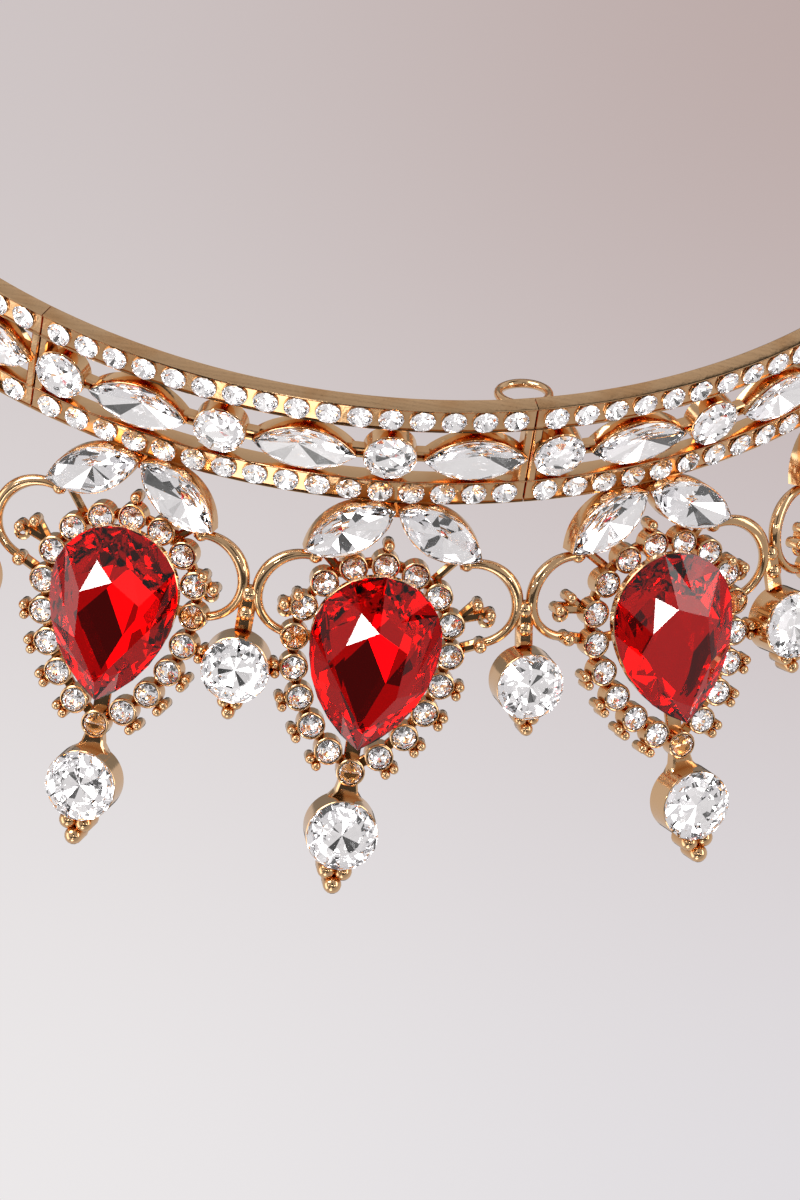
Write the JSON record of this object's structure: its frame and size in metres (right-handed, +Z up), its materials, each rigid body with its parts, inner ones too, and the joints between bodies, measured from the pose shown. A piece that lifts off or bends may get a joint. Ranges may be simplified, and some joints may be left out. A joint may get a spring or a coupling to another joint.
{
  "type": "crown",
  "caption": "Round flared crown of cast gold-coloured band segments with jewelled spires, red drop stones, clear crystals, scrolls and small inner loops for hairpins.",
  "frame": {"origin": "centre of the ring, level with the band's lower edge, which is the edge that sits on the hair", "axes": "+Z up along the ring's axis, towards the spires' tips; -Y through the middle of band segment 1, which is the front"},
  "size_m": [0.1664, 0.1664, 0.0503],
  "materials": {
    "gold": "polished yellow gold plating on a cast alloy",
    "crystal": "clear cut glass with a silver foil back",
    "red_crystal": "ruby red cut glass with a silver foil back"
  },
  "bodies": {
    "root": {"band_segment_1": "gold", "band_segment_2": "gold", "band_segment_3": "gold", "band_segment_4": "gold", "band_segment_5": "gold", "band_segment_6": "gold", "band_segment_7": "gold", "band_segment_8": "gold", "spire_1": "gold", "spire_2": "gold", "spire_3": "gold", "spire_4": "gold", "spire_5": "gold", "spire_6": "gold", "spire_7": "gold", "spire_8": "gold", "spire_9": "gold", "spire_10": "gold", "spire_11": "gold", "spire_12": "gold", "spire_13": "gold", "spire_14": "gold", "spire_15": "gold", "spire_16": "gold", "red_drop_1": "red_crystal", "red_drop_2": "red_crystal", "red_drop_3": "red_crystal", "red_drop_4": "red_crystal", "red_drop_5": "red_crystal", "red_drop_6": "red_crystal", "red_drop_7": "red_crystal", "red_drop_8": "red_crystal", "red_drop_9": "red_crystal", "red_drop_10": "red_crystal", "red_drop_11": "red_crystal", "red_drop_12": "red_crystal", "red_drop_13": "red_crystal", "red_drop_14": "red_crystal", "red_drop_15": "red_crystal", "red_drop_16": "red_crystal", "pin_loop_1": "gold", "pin_loop_2": "gold", "pin_loop_3": "gold", "pin_loop_4": "gold", "bridge_settings": "gold", "lower_rail_stones": "crystal", "upper_rail_stones": "crystal", "middle_round_stones": "crystal", "middle_marquise_stones": "crystal", "leaf_stones": "crystal", "halo_stones": "crystal", "tip_crystals": "crystal", "bridge_crystals": "crystal"}
  },
  "joints": []
}
